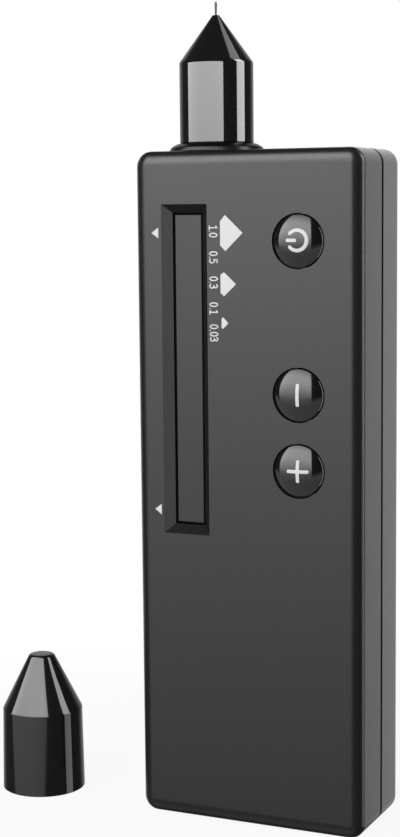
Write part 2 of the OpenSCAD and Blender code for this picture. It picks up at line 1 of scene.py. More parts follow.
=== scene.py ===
# %% [markdown]
# # Hand-held diamond tester
# The tester is a dark plastic case with a light-scale window, three domed buttons and a black nose
# that carries a fine metal probe. Its cap stands beside it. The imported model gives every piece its
# place and size, so this lesson only dresses it: smooth skins, printed signs, finishes and light.

import bpy
import numpy as np
from mathutils import Matrix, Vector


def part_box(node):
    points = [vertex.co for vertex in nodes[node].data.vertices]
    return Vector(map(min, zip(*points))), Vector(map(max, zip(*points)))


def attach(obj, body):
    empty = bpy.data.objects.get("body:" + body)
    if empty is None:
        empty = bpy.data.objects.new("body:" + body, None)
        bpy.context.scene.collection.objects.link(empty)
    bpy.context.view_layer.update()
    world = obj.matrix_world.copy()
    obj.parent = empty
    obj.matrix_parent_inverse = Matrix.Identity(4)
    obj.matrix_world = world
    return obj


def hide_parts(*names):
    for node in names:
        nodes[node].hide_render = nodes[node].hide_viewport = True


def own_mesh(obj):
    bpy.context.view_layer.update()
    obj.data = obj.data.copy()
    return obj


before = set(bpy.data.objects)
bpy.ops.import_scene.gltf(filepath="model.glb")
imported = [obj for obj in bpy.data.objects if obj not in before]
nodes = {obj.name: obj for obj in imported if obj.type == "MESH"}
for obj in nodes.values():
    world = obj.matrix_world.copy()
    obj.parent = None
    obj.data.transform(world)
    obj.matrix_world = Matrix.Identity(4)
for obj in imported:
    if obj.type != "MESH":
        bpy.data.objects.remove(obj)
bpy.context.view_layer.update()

MM = 0.001

# %% [markdown]
# ## Camera
# A product photograph is a pinhole view, so six numbers place the camera: the eye and three turns.
# The lens is given as a focal length in pixels of a picture 837 pixels high, which a 36 mm sensor
# turns into millimetres. Fitting the sensor to the height keeps it right at any picture width.

# %% Camera
EYE = np.array([133.41, -318.54, 120.85]) * MM
YAW, PITCH, ROLL = np.radians([24.990, 6.796, 0.564])
FOCAL_PIXELS, PICTURE_HEIGHT, SENSOR = 1758.5, 837, 36.0

look = np.array([-np.sin(YAW) * np.cos(PITCH), np.cos(YAW) * np.cos(PITCH), -np.sin(PITCH)])
level = np.array([np.cos(YAW), np.sin(YAW), 0.0])
below = np.cross(look, level)
right = np.cos(ROLL) * level + np.sin(ROLL) * below
upward = np.sin(ROLL) * level - np.cos(ROLL) * below

camera_data = bpy.data.cameras.new("camera")
camera_data.sensor_fit = "VERTICAL"
camera_data.sensor_height = SENSOR
camera_data.lens = FOCAL_PIXELS / PICTURE_HEIGHT * SENSOR
camera_data.clip_start = 0.01
camera = bpy.data.objects.new("camera", camera_data)
pose = np.eye(4)
pose[:3] = np.column_stack([right, upward, -look, EYE])
camera.matrix_world = Matrix(pose.tolist())
bpy.context.scene.collection.objects.link(camera)
bpy.context.scene.camera = camera
bpy.context.scene.view_settings.view_transform = "Standard"
print("lens", round(camera_data.lens, 2), "mm")

# %% [markdown]
# ## Shader sums
# Finishes are easier to read as sums than as a web of nodes. A wire holds one output of a node, and
# adding, subtracting or multiplying wires adds the Math nodes. One method adds any other node: its
# settings are set first, because some of them change its sockets, and then its sockets are fed.

# %% Wires
class Wire:
    """One output socket of a node tree, ready to be used in sums."""

    def __init__(self, socket):
        self.socket = socket
        self.tree = socket.id_data

    def node(self, kind, settings=None, sockets=None, out=0):
        """Adds a node of a kind, sets it, feeds its sockets with values or wires, and gives one output."""
        made = self.tree.nodes.new(kind)
        for key, value in (settings or {}).items():
            if key == "stops":
                ramp = made.color_ramp.elements
                while len(ramp) < len(value):
                    ramp.new(0.5)
                for stop, (place, grey) in zip(ramp, value):
                    stop.position = place
                    stop.color = (grey, grey, grey, 1)
            else:
                setattr(made, key, value)
        for key, value in (sockets or {}).items():
            if isinstance(value, Wire):
                self.tree.links.new(value.socket, made.inputs[key])
            else:
                made.inputs[key].default_value = value
        return Wire(made.outputs[out])

    def math(self, operation, a, b):
        """Math node of two values or wires."""
        return self.node("ShaderNodeMath", {"operation": operation}, {0: a, 1: b})

    def __add__(self, other):
        return self.math("ADD", self, other)

    def __sub__(self, other):
        return self.math("SUBTRACT", self, other)

    def __rsub__(self, other):
        return self.math("SUBTRACT", other, self)

    def __mul__(self, other):
        return self.math("MULTIPLY", self, other)

    __radd__ = __add__
    __rmul__ = __mul__

    def blend(self, first, second):
        """Colour that goes from the first to the second as this wire goes from 0 to 1."""
        settings = {"data_type": "RGBA"}
        return self.node("ShaderNodeMix", settings, {0: self, 6: first, 7: second}, out=2)

    def into(self, shader, name):
        """Feeds a socket of a shader."""
        self.tree.links.new(self.socket, shader.inputs[name])


def new_finish(name, roughness=0.5, **uniform):
    """A material, its shader and a wire of its Object coordinates. Uniform values go straight to sockets."""
    material = bpy.data.materials.new(name)
    material.use_nodes = True
    shader = material.node_tree.nodes["Principled BSDF"]
    shader.inputs["Roughness"].default_value = roughness
    for key, value in uniform.items():
        shader.inputs[key.replace("_", " ")].default_value = value
    place = Wire(material.node_tree.nodes.new("ShaderNodeTexCoord").outputs["Object"])
    return material, shader, place


def grey(level, tint=(1.0, 1.0, 1.0)):
    """Colour whose screen level is 0 to 255: the screen's curve undone, times a tint."""
    share = level / 255
    linear = ((share + 0.055) / 1.055) ** 2.4 if share > 0.04045 else share / 12.92
    return tuple(linear * t for t in tint) + (1.0,)


print("black plastic at level 60 is", round(grey(60)[0], 4))

# %% [markdown]
# ## Moulded plastics
# Injection-moulded plastic is never one flat value. The steel mould leaves a fine grain, the melt
# leaves slow drifts of shade, and handling polishes some patches. Three noises at three sizes give
# these: a slow one drifts the colour, a middle one the gloss, and a fine one the relief. The case's
# flat top is matt: seen from behind, a satin one would mirror the lamps in front as pure white.
# Noise scales count features to a metre, because Object coordinates are in metres.

# %% Plastics
DRIFTS, PATCHES, GRAIN_DEPTH = 45.0, 240.0, 0.02 * MM
MATT, MATT_FROM, MATT_FULL = 0.75, 0.04 * MM, 0.005 * MM
case_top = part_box("front_shell")[1].z


def noise(place, per_metre, detail=2.0):
    """Noise with so many features to a metre, and finer ones laid over them."""
    return place.node("ShaderNodeTexNoise", None, {"Vector": place, "Scale": per_metre, "Detail": detail})


def emboss(shader, height, strength, depth=GRAIN_DEPTH):
    """Relief: a Bump node turns a wire of heights into the shader's normal."""
    settings = {"Strength": strength, "Distance": depth, "Height": height}
    height.node("ShaderNodeBump", None, settings).into(shader, "Normal")


def moulded(name, dark, light, gloss, grain, relief, tint=(1, 1, 1), matt_top=False, **uniform):
    """Plastic: colour drifts between two levels, roughness between two values, grain sized in mm.
    With a matt top, roughness climbs to matt over the last few hundredths below the case's top."""
    material, shader, place = new_finish(name, gloss[0], **uniform)
    noise(place, DRIFTS, 3.0).blend(grey(dark, tint), grey(light, tint)).into(shader, "Base Color")
    rough = gloss[0] + (gloss[1] - gloss[0]) * noise(place, PATCHES)
    if matt_top:
        height = place.node("ShaderNodeSeparateXYZ", None, {0: place}, out=2)
        climb = {0: height, 1: case_top - MATT_FROM, 2: case_top - MATT_FULL}
        rough = rough + (MATT - gloss[1]) * height.node("ShaderNodeMapRange", None, climb)
    rough.into(shader, "Roughness")
    emboss(shader, noise(place, 1 / (grain * MM)), relief)
    return material


SATIN, COOL = (0.26, 0.29), (1, 1, 1.01)
case_front = moulded("case_front", 24, 28, SATIN, 0.35, 0.08, COOL, matt_top=True, Specular_IOR_Level=0.44)
# Painted sheen: the rear half's base colour is lighter than the front half's, and it stands in for the
# brighter reflection that its sides show.
case_rear = moulded("case_rear", 36, 40, SATIN, 0.35, 0.08, COOL, matt_top=True, Specular_IOR_Level=0.68)
button_black = moulded("button_black", 12, 17, (0.07, 0.10), 0.8, 0.03)
nose_black = moulded("nose_black", 8, 12, (0.05, 0.08), 0.9, 0.03, Specular_IOR_Level=1.0, IOR=1.55)
collar_black = moulded("collar_black", 8, 12, (0.24, 0.3), 0.9, 0.03, Specular_IOR_Level=0.24)
cap_black = moulded("cap_black", 20, 25, (0.06, 0.09), 0.9, 0.04)
lens_grey = moulded("lens_grey", 28, 31, (0.28, 0.32), 0.5, 0.05, Specular_IOR_Level=0.4)
inner_black = moulded("inner_black", 28, 36, (0.42, 0.5), 0.3, 0.2)
plunger_cream = moulded("plunger_cream", 205, 215, (0.4, 0.46), 0.3, 0.15, (1, 0.97, 0.88))
plug_cream = moulded("plug_cream", 222, 230, (0.4, 0.5), 0.3, 0.15, (1, 0.98, 0.9))
guide_white = moulded("guide_white", 232, 238, (0.35, 0.45), 0.3, 0.1, (1, 1, 0.98))
lead_red = moulded("lead_red", 190, 200, (0.4, 0.5), 0.4, 0.1, (1, 0.05, 0.04))
lead_yellow = moulded("lead_yellow", 215, 225, (0.4, 0.5), 0.4, 0.1, (1, 0.85, 0.12))
led_green = moulded("led_green", 190, 205, (0.15, 0.22), 0.5, 0.05, (0.25, 1, 0.35))
led_amber = moulded("led_amber", 225, 235, (0.15, 0.22), 0.5, 0.05, (1, 0.6, 0.08))
led_red = moulded("led_red", 205, 215, (0.15, 0.22), 0.5, 0.05, (1, 0.06, 0.05))
parts_tan = moulded("parts_tan", 150, 170, (0.4, 0.5), 0.25, 0.2, (1, 0.78, 0.5))
heater_brown = moulded("heater_brown", 130, 150, (0.5, 0.6), 0.2, 0.3, (1, 0.5, 0.25))
thermistor_blue = moulded("thermistor_blue", 110, 125, (0.25, 0.35), 0.3, 0.1, (0.3, 0.4, 1))
pad_foam = moulded("pad_foam", 52, 66, (0.85, 0.95), 0.45, 0.9)
ink_white = moulded("ink_white", 210, 217, (0.5, 0.6), 0.12, 0.2, (1, 1, 0.99), Specular_IOR_Level=0.2)
print("plastics", len(bpy.data.materials))

# %% [markdown]
# ## Metals, board and foil
# Turned and drawn metal shows fine lines along the way it was worked, so its noise is stretched on
# one axis. A circuit board is green lacquer over copper tracks, and the tracks show as a faint
# raised grid. A pouch cell wears crinkled foil.

# %% Metals, board and foil
DRAWN_LINES, LINE_DARK, LINE_PALE, LINE_GLOSS = 900.0, 14, 8, 0.06
TRACK_DEPTH, CRINKLE_DEPTH = 0.03 * MM, 0.1 * MM


def drawn_metal(name, level, tint, gloss, stretch):
    """Metal: noise squeezed by the stretch on each axis makes drawing lines in colour, gloss and relief."""
    material, shader, place = new_finish(name, gloss, Metallic=1.0)
    lines = place.node("ShaderNodeMapping", None, {"Vector": place, "Scale": stretch})
    marks = noise(lines, DRAWN_LINES, 4.0)
    marks.blend(grey(level - LINE_DARK, tint), grey(level + LINE_PALE, tint)).into(shader, "Base Color")
    (gloss - LINE_GLOSS + 2 * LINE_GLOSS * marks).into(shader, "Roughness")
    emboss(shader, marks, 0.15)
    return material


def tracked_board(name):
    """Circuit board: a brick pattern gives the tracks, which are paler and stand a little proud."""
    material, shader, place = new_finish(name, 0.3)
    upright = place.node("ShaderNodeMapping", None, {"Vector": place, "Rotation": (np.pi / 2, 0, 0)})
    bricks = {"Vector": upright, "Scale": 260.0, "Mortar Size": 0.035, "Brick Width": 0.9, "Row Height": 0.35}
    tracks = place.node("ShaderNodeTexBrick", None, bricks, out=1)
    tracks.blend(grey(108, (0.12, 1, 0.4)), grey(128, (0.25, 1, 0.45))).into(shader, "Base Color")
    (0.28 + 0.1 * tracks).into(shader, "Roughness")
    emboss(shader, tracks, 0.3, TRACK_DEPTH)
    return material


def crinkled_foil(name):
    """Pouch foil: cells of a Voronoi pattern crinkle the relief, and a slow noise drifts the gloss."""
    material, shader, place = new_finish(name, 0.3, Metallic=0.85)
    cells = place.node("ShaderNodeTexVoronoi", None, {"Vector": place, "Scale": 260.0})
    drift = noise(place, 90.0)
    drift.blend(grey(196), grey(212)).into(shader, "Base Color")
    (0.24 + 0.16 * drift).into(shader, "Roughness")
    emboss(shader, cells, 0.25, CRINKLE_DEPTH)
    return material


steel = drawn_metal("steel", 205, (1, 1, 1.02), 0.3, (6, 0.4, 6))
spring_steel = drawn_metal("spring_steel", 190, (1, 1, 1), 0.28, (4, 4, 4))
needle_copper = drawn_metal("needle_copper", 88, (1, 0.86, 0.82), 0.42, (8, 8, 0.5))
board_green = tracked_board("board_green")
battery_foil = crinkled_foil("battery_foil")
print("finishes", len(bpy.data.materials))

# %% [markdown]
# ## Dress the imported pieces
# Most pieces inside the case already have the right shape, so they keep it and only take a finish.
# The glTF file gave each of them one material slot, and filling that slot is all it needs.

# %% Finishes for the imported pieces
FINISH_OF = {
    "front_shell": case_front, "rear_shell": case_rear, "case_screws": steel, "window_lens": lens_grey,
    "light_guide": guide_white, "green_leds": led_green, "amber_leds": led_amber, "red_leds": led_red,
    "main_board": board_green, "board_screws": steel, "power_button": button_black,
    "minus_button": button_black, "plus_button": button_black, "power_plunger": plunger_cream,
    "minus_plunger": plunger_cream, "plus_plunger": plunger_cream, "switch_bodies": inner_black,
    "control_chip": inner_black, "board_parts": parts_tan, "buzzer": inner_black, "battery": battery_foil,
    "battery_pad": pad_foam, "battery_leads": lead_red, "battery_plug": plug_cream,
    "charging_socket": steel, "socket_tongue": inner_black, "nose_collar": collar_black,
    "nose_barrel": nose_black, "probe_carrier": plunger_cream, "probe_sleeve": guide_white,
    "probe_spring": spring_steel, "probe_needle": needle_copper, "probe_heater": heater_brown,
    "thermistor": thermistor_blue, "probe_leads": lead_yellow, "probe_plug": plug_cream,
    "probe_cap": cap_black,
}
for node_name, material in FINISH_OF.items():
    nodes[node_name].data.materials[0] = material
print("dressed", len(FINISH_OF), "of", len(nodes))

# %% [markdown]
# ## Skins from rings
# Round and printed pieces are skins: rows of points, each row a closed ring, joined to the next row
# by quads. A skin that starts or ends in a point closes there with a fan of triangles, and a skin
# whose last row meets its first is a closed tube. Working on whole arrays keeps it short and quick.

# %% Skins
def skin(rings, first=None, last=None, loop=False):
    """Points and faces of a skin: rings is rows x around x 3, first and last are optional end points."""
    rows, around = rings.shape[:2]
    points = rings.reshape(-1, 3)
    index = np.arange(rows * around).reshape(rows, around)
    after = np.roll(index, -1, axis=1)
    if loop:
        low, high = (index, after), (np.roll(index, -1, axis=0), np.roll(after, -1, axis=0))
    else:
        low, high = (index[:-1], after[:-1]), (index[1:], after[1:])
    faces = np.stack([low[0], low[1], high[1], high[0]], axis=-1).reshape(-1, 4).tolist()
    for tip, ring, ahead in ((first, index[0], False), (last, index[-1], True)):
        if tip is not None:
            hub = np.full(around, len(points))
            sides = (ring, np.roll(ring, -1), hub) if ahead else (np.roll(ring, -1), ring, hub)
            faces += np.stack(sides, axis=-1).tolist()
            points = np.vstack([points, tip])
    return points, faces


def joined(parts):
    """Several skins as one: each one's face numbers are raised by the points before it."""
    starts = np.cumsum([0] + [len(points) for points, _ in parts])
    faces = [[corner + start for corner in face] for (_, fs), start in zip(parts, starts) for face in fs]
    return np.vstack([points for points, _ in parts]), faces


def outward(shape):
    """The same skin with its faces turned outwards, by the sign of the volume its fans enclose."""
    points, faces = shape
    corners = np.array([[f[0], f[i], f[i + 1]] for f in faces for i in range(1, len(f) - 1)])
    a, b, c = (points[corners[:, k]] - points.mean(axis=0) for k in range(3))
    volume = np.einsum("ij,ij->i", a, np.cross(b, c)).sum()
    return shape if volume > 0 else (points, [face[::-1] for face in faces])


def make_piece(name, shape, material, body, stands_for=(), crease=30.0):
    """Mesh object from points in mm and faces, shaded smooth but for edges sharper than the crease."""
    points, faces = shape
    mesh = bpy.data.meshes.new(name)
    mesh.from_pydata((points * MM).tolist(), [], faces)
    mesh.materials.append(material)
    mesh.polygons.foreach_set("use_smooth", np.ones(len(mesh.polygons), dtype=bool))
    mesh.set_sharp_from_angle(angle=np.radians(crease))
    mesh.update()
    piece = bpy.data.objects.new(name, mesh)
    bpy.context.scene.collection.objects.link(piece)
    even = piece.modifiers.new("even_normals", "WEIGHTED_NORMAL")
    even.keep_sharp = True
    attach(piece, body)
    if stands_for:
        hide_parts(*stands_for)
    return piece


def eased(corners, radii, steps=6):
    """Closed or open outline whose corners are rounded: each corner becomes points of a circle that
    touches both its sides, at the radius divided by the tangent of half the corner's angle from it."""
    corners = np.asarray(corners, float)
    out = []
    for i, radius in enumerate(radii):
        here = corners[i]
        if radius == 0:
            out.append(here[None])
            continue
        back = corners[i - 1] - here
        on = corners[(i + 1) % len(corners)] - here
        back, on = back / np.linalg.norm(back), on / np.linalg.norm(on)
        half = np.arccos(np.clip(back @ on, -1, 1)) / 2
        middle = here + (back + on) / np.linalg.norm(back + on) * radius / np.sin(half)
        start = here + back * radius / np.tan(half) - middle
        end = here + on * radius / np.tan(half) - middle
        share = np.linspace(0, 1, steps + 1)[:, None]
        swing = np.pi - 2 * half
        arc = (np.sin((1 - share) * swing) * start + np.sin(share * swing) * end) / np.sin(swing)
        out.append(middle + arc)
    return np.vstack(out)


def turned(profile, axis, around=128, loop=False):
    """Surface of revolution: each point of the profile, a radius and a height, sweeps a full circle.
    A profile that starts or ends at radius 0 closes there in a point."""
    turn = np.linspace(0, 2 * np.pi, around, endpoint=False)
    radius, height = np.asarray(profile, float).T
    rings = np.stack([
        axis[0] + radius[:, None] * np.cos(turn),
        axis[1] + radius[:, None] * np.sin(turn),
        np.broadcast_to(axis[2] + height[:, None], (len(radius), around)),
    ], axis=-1)
    first = rings[0, 0] if radius[0] == 0 else None
    last = rings[-1, 0] if radius[-1] == 0 else None
    rings = rings[int(first is not None):len(rings) - int(last is not None)]
    return skin(rings, first, last, loop)


print("a turned square has", len(turned([[1, 0], [2, 0], [2, 1], [1, 1]], (0, 0, 0), loop=True)[1]), "faces")

# %% [markdown]
# ## Case halves
# The case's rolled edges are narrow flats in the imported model, which a satin finish would show as
# stripes. A copy with its corners merged can be shaded as one smooth roll. Weighted normals keep
# the wide faces flat, and edges sharper than the crease stay crisp.

# %% Case halves
def merged_copy(node_name):
    """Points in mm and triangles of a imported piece, with corners that lie at one place made one corner."""
    mesh = nodes[node_name].data
    points = np.empty(len(mesh.vertices) * 3)
    mesh.vertices.foreach_get("co", points)
    corners = np.empty(len(mesh.loops), dtype=int)
    mesh.loops.foreach_get("vertex_index", corners)
    points = points.reshape(-1, 3) / MM
    _, kept, shared = np.unique(np.round(points, 4), axis=0, return_index=True, return_inverse=True)
    faces = shared.reshape(-1)[corners].reshape(-1, 3)
    whole = (faces[:, 0] != faces[:, 1]) & (faces[:, 1] != faces[:, 2]) & (faces[:, 2] != faces[:, 0])
    return points[kept], faces[whole].tolist()


for half, material in (("front", case_front), ("rear", case_rear)):
    shape = merged_copy(half + "_shell")
    make_piece(half + "_half", shape, material, "case", [half + "_shell"], crease=20.0)
    print(half, "half", len(shape[0]), "points")

# %% [markdown]
# ## Window bezel and painted shadow gap
# The window is sunk into the case behind a bevel, and the lens sits in it with a gap all round. The
# gap's shade is painted: a near-black strip fills it and laps the bevel's foot, and it shows as a
# fine black line where the gap would lie in shadow. The bevel gets a skin of its own, as thin as
# paint, because a piece of its own can be lit apart from the case. Both are small sections carried
# round the four corners.

# %% Window bezel and painted shadow gap
def box_mm(node_name):
    """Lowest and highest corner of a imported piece, in mm."""
    return [np.array(corner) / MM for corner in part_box(node_name)]


lens_low, lens_high = box_mm("window_lens")
LENS_LAP, LENS_GAP, BEVEL_FOOT, BEVEL_W, BEVEL_D = 1.4, 0.3, 0.1, 1.8, 1.9
GAP_SHADE_LAP, GAP_SHADE_DEPTH, FILM = 0.15, 0.3, 0.02
slot_middle = ((lens_low + lens_high) / 2)[[0, 2]]
slot_half = ((lens_high - lens_low) / 2)[[0, 2]] - LENS_LAP


def on_bevel(out, lift):
    """A section's point: its distance out from the slot's wall, and its lift off the bevel there."""
    return [out, BEVEL_FOOT + out * BEVEL_D / BEVEL_W + lift]


def round_slot(section):
    """Section carried round the slot: each of its points, a distance out from the slot's wall and a
    height over the lens, runs round a rectangle that is that much larger than the slot."""
    out, up = np.array(section).T
    turns = np.array([[1, 1], [-1, 1], [-1, -1], [1, -1]])
    flat = slot_middle + turns[:, None] * (slot_half + out[:, None])
    depth = np.broadcast_to(lens_low[1] - up, flat.shape[:2])
    return outward(skin(np.stack([flat[..., 0], depth, flat[..., 1]], axis=-1), loop=True))


inner, outer = GAP_SHADE_LAP - FILM, BEVEL_W - FILM
bezel = round_slot([
    on_bevel(inner, FILM / 2), on_bevel(outer, FILM / 2), on_bevel(outer, -FILM), on_bevel(inner, -FILM),
])
make_piece("window_bezel", bezel, case_front, "case")
# Painted shadow: the strip below is near black and barely glossy, and it stands in for the shade inside the
# lens's gap.
shadow_gap = round_slot([
    [-LENS_GAP - FILM, FILM], on_bevel(0, FILM), on_bevel(GAP_SHADE_LAP, FILM), on_bevel(GAP_SHADE_LAP, -FILM),
    [FILM, -GAP_SHADE_DEPTH], [FILM - LENS_GAP, -GAP_SHADE_DEPTH],
])
seal_black = moulded("seal_black", 3, 5, (0.7, 0.8), 0.3, 0.2, Specular_IOR_Level=0.03)
make_piece("window_seal", shadow_gap, seal_black, "case")
print("opening", (slot_half * 2).round(2).tolist(), "mm")

# %% [markdown]
# ## Nose
# The nose and its flared foot are turned shapes, so a profile swept round an axis makes them. Real
# moulded edges are never sharp, and a small easing on each corner is what catches the light as a
# thin line. Radii and heights above the case's top are in mm, and the last list gives the easings.

# %% Nose
nose_low, nose_high = box_mm("nose_barrel")
collar_low, collar_high = box_mm("nose_collar")
top_z = case_top / MM
nose_axis = ((nose_low[0] + nose_high[0]) / 2, (nose_low[1] + nose_high[1]) / 2, top_z)
nose_r = (nose_high[0] - nose_low[0]) / 2
foot = nose_low[2] - top_z
tip = nose_high[2] - top_z
SHOULDER, TIP_R, HOLE_R = 17.2, 0.65, 0.28
BORE_R, BORE_TOP, SLEEVE_R, SLEEVE_TOP = 5.6, 21.75, 2.3, 22.35
barrel = eased(
    [[BORE_R, foot], [nose_r, foot], [nose_r, SHOULDER], [TIP_R, tip], [HOLE_R, tip], [HOLE_R, SLEEVE_TOP],
     [SLEEVE_R, SLEEVE_TOP], [SLEEVE_R, BORE_TOP], [BORE_R, SHOULDER]],
    [0.1, 0.12, 1.0, 0.15, 0.04, 0, 0, 0, 0])
nose = turned(barrel, nose_axis, loop=True)
make_piece("nose_skin", nose, nose_black, "case", ["nose_barrel"])

flare_r = (collar_high[0] - collar_low[0]) / 2
collar_foot, collar_head = collar_low[2] - top_z, collar_high[2] - top_z
FLARE_TOP, FLARE_BROW, FLARE_BULGE, FLARE_EDGE, FLARE_FOOT = 1.6, 1.4, 0.82, 0.2, 0.06
BROW_R, BULGE_R, NECK_R, FLANGE_R, FLANGE_TOP, LEAD_R, SPIGOT_R = 7.95, 9.0, 6.4, 8.2, -2.1, 2.4, 5.54
collar = eased(
    [[LEAD_R, collar_foot], [FLANGE_R, collar_foot], [FLANGE_R, FLANGE_TOP], [NECK_R, FLANGE_TOP],
     [NECK_R, FLARE_FOOT], [flare_r, FLARE_FOOT], [flare_r, FLARE_EDGE], [BULGE_R, FLARE_BULGE],
     [BROW_R, FLARE_BROW], [nose_r, FLARE_TOP], [SPIGOT_R, FLARE_TOP], [SPIGOT_R, collar_head],
     [LEAD_R, collar_head]],
    [0.1, 0.15, 0.15, 0, 0, 0, 0.2, 0.6, 0.3, 0.05, 0, 0.1, 0.1])
flare = turned(collar, nose_axis, loop=True)
make_piece("nose_foot", flare, collar_black, "case", ["nose_collar"])
print("nose radius", round(nose_r, 2), "flare radius", round(flare_r, 2))

# %% [markdown]
# ## Cap and needle
# The cap is the nose's form again, hollow and a little larger, and it stands on its open end. Its
# profile meets the axis twice, so it is rolled round until it starts and ends there. The needle is
# a drawn wire on a thicker shank with a collar at its foot, and it widens a little to its point.

# %% Cap and needle
cap_low, cap_high = box_mm("probe_cap")
cap_axis = ((cap_low[0] + cap_high[0]) / 2, (cap_low[1] + cap_high[1]) / 2, cap_low[2])
cap_r, cap_h = (cap_high[0] - cap_low[0]) / 2, cap_high[2] - cap_low[2]
CAP_SHOULDER_R, CAP_SHOULDER, CAP_TOP_R = 8.3, 17.0, 2.55
CAP_BORE_R, CAP_BORE, CAP_ROOM_R, CAP_ROOF = 7.31, 16.9, 1.9, 0.7
cap_profile = eased(
    [[CAP_BORE_R, 0], [cap_r, 0], [CAP_SHOULDER_R, CAP_SHOULDER], [CAP_TOP_R, cap_h], [0, cap_h],
     [0, cap_h - CAP_ROOF], [CAP_ROOM_R, cap_h - CAP_ROOF], [CAP_BORE_R, CAP_BORE]],
    [0.15, 0.2, 0.5, 0.9, 0, 0, 0.2, 0.3])
crown_row = np.flatnonzero(cap_profile[:, 0] == 0)[0]
cap_profile = np.roll(cap_profile, -crown_row - 1, axis=0)
make_piece("cap_skin", turned(cap_profile, cap_axis), cap_black, "cap", ["probe_cap"])

needle_low, needle_high = box_mm("probe_needle")
COLLAR_R, COLLAR_T, SHANK_R, SHANK_TOP = 2.0, 0.8, 0.8, 20.95
NEEDLE_R, HEAD_R, POINT, BLUNT = 0.19, 0.25, 0.4, 0.05
base, end = needle_low[2] - top_z, needle_high[2] - top_z
needle_profile = [
    [0, base], [COLLAR_R, base], [COLLAR_R, base + COLLAR_T], [SHANK_R, base + COLLAR_T],
    [SHANK_R, SHANK_TOP], [NEEDLE_R, SHANK_TOP], [NEEDLE_R, tip], [HEAD_R, end - POINT],
    [HEAD_R * 0.6, end - BLUNT], [HEAD_R * 0.3, end], [0, end],
]
needle = turned(needle_profile, nose_axis, around=48)
make_piece("needle_skin", needle, needle_copper, "needle", ["probe_needle"])
print("cap height", round(cap_h, 2), "needle ends at", round(end + top_z, 2))

# %% [markdown]
# ## Probe spring
# The needle stands on a coil spring inside the nose, which shortens when a stone presses the needle
# in. A round section carried along a helix makes the wire, and its foot stays on the case.

# %% Spring
spring_low, spring_high = box_mm("probe_spring")
WIRE_R, SPRING_TURNS, RINGS_A_TURN, NEEDLE_TRAVEL = 0.16, 6, 24, 1.0
coil_r = (spring_high[0] - spring_low[0]) / 2 - WIRE_R
spring_h = spring_high[2] - spring_low[2]


def coil(middle, radius, height, turns, wire_r, around=12):
    """Helix of the turns and height given, with a circle of the wire's radius across it at every step:
    the circle is spanned by the line out from the axis and the line square to it and to the helix."""
    turn = np.linspace(0, 2 * np.pi * turns, RINGS_A_TURN * turns + 1)
    climb = (height - 2 * wire_r) / turn[-1]
    out = np.column_stack([np.cos(turn), np.sin(turn), np.zeros_like(turn)])
    way = np.column_stack([-radius * np.sin(turn), radius * np.cos(turn), np.full_like(turn, climb)])
    side = np.cross(way / np.linalg.norm(way, axis=1)[:, None], out)
    route = np.array(middle) + radius * out + np.array([0, 0, 1]) * (wire_r + climb * turn)[:, None]
    roll = np.linspace(0, 2 * np.pi, around, endpoint=False)[:, None]
    rings = route[:, None] + wire_r * (np.cos(roll) * out[:, None] + np.sin(roll) * side[:, None])
    return skin(rings, route[0], route[-1])


spring_foot = (nose_axis[0], nose_axis[1], spring_low[2])
wire = outward(coil(spring_foot, coil_r, spring_h, SPRING_TURNS, WIRE_R))
spring = make_piece("spring_coil", wire, spring_steel, "case", ["probe_spring"])
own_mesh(spring)
print("spring", round(spring_h, 2), "mm high, pressed to", round(spring_h - NEEDLE_TRAVEL, 2))

# %% [markdown]
# ## Buttons
# Each button is a glossy dome: a crown of wide radius that rolls over into an upright side, with a
# flange behind the wall. The profile is turned about the button's own axis, which points forward.

# %% Buttons
front_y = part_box("front_shell")[0].y / MM
BUTTON_R, CROWN_R, DOME_ROLL, DOME_H, FLANGE_W = 5.1, 8.0, 0.5, 1.8, 1.1
FLANGE_FRONT, FLANGE_BACK, STEM_END, STEM_R = -2.3, -3.3, -3.9, 1.7
lean = np.arcsin((BUTTON_R - DOME_ROLL) / (CROWN_R - DOME_ROLL))
roll_middle = np.array([BUTTON_R - DOME_ROLL, DOME_H - CROWN_R + (CROWN_R - DOME_ROLL) * np.cos(lean)])


def dome(reach):
    """Height of the crown above the case at a distance from the button's axis, on a circle of its radius."""
    return DOME_H - CROWN_R + np.sqrt(CROWN_R ** 2 - reach ** 2)


CROWN_ROWS, ROLL_ROWS = 14, 22
crown_reach = np.sin(np.linspace(0, lean, CROWN_ROWS)) * CROWN_R
roll_angle = np.linspace(np.pi / 2 - lean, 0, ROLL_ROWS)[1:]
button_profile = np.vstack([
    np.column_stack([crown_reach, dome(crown_reach)]),
    roll_middle + DOME_ROLL * np.column_stack([np.cos(roll_angle), np.sin(roll_angle)]),
    [[BUTTON_R, FLANGE_FRONT], [BUTTON_R + FLANGE_W, FLANGE_FRONT], [BUTTON_R + FLANGE_W, FLANGE_BACK],
     [STEM_R, FLANGE_BACK], [STEM_R, STEM_END], [0, STEM_END]],
])
button_middle = {}
for sign in ("power", "minus", "plus"):
    low, high = box_mm(sign + "_button")
    button_middle[sign] = np.array([(low[0] + high[0]) / 2, (low[2] + high[2]) / 2])
    points, faces = turned(button_profile[::-1], (0, 0, 0), around=96)
    points = np.column_stack([points[:, 0], -points[:, 2], points[:, 1]])
    points += [button_middle[sign][0], front_y, button_middle[sign][1]]
    make_piece(sign + "_dome", (points, faces), button_black, sign, [sign + "_button"])
print("button middles", {key: value.round(2).tolist() for key, value in button_middle.items()})

# %% [markdown]
# ## Printed signs
# The signs are pad-printed: a film of white ink a few hundredths of a millimetre thick. A line is a
# flat section carried along a path and drawn in round at its ends. A filled sign is rings that
# shrink to its middle. Both are laid on whatever carries them, flat case or domed button.

# %% Ink
INK = 0.03
INK_SINK = 0.05


def flat_case(x, z):
    """The case's front face has one depth everywhere."""
    return np.full_like(x, front_y)


def on_dome(sign):
    """Depth of a button's dome as a function of place: the crown's height taken off the front face."""
    middle = button_middle[sign]
    return lambda x, z: front_y - dome(np.hypot(x - middle[0], z - middle[1]))


